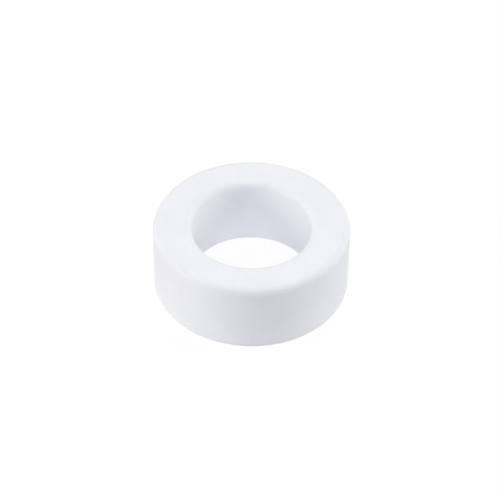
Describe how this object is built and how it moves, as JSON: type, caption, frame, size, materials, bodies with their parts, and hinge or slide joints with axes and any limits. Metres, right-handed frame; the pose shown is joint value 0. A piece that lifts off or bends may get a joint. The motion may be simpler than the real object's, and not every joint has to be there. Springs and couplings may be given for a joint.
{
  "type": "ferrite toroid core",
  "caption": "Ferrite ring with rounded edges and a white insulating coat, wound with wire through its bore to make an inductor, choke or transformer.",
  "frame": {"origin": "on the bore's axis, in the plane of the lower end face", "axes": "+Z along the bore's axis, from the lower end face to the upper one; the ring is the same all round, so X and Y are free"},
  "size_m": [0.025, 0.025, 0.01],
  "materials": {
    "coat": "satin"
  },
  "bodies": {
    "root": {"toroid_core": "coat"}
  },
  "joints": []
}
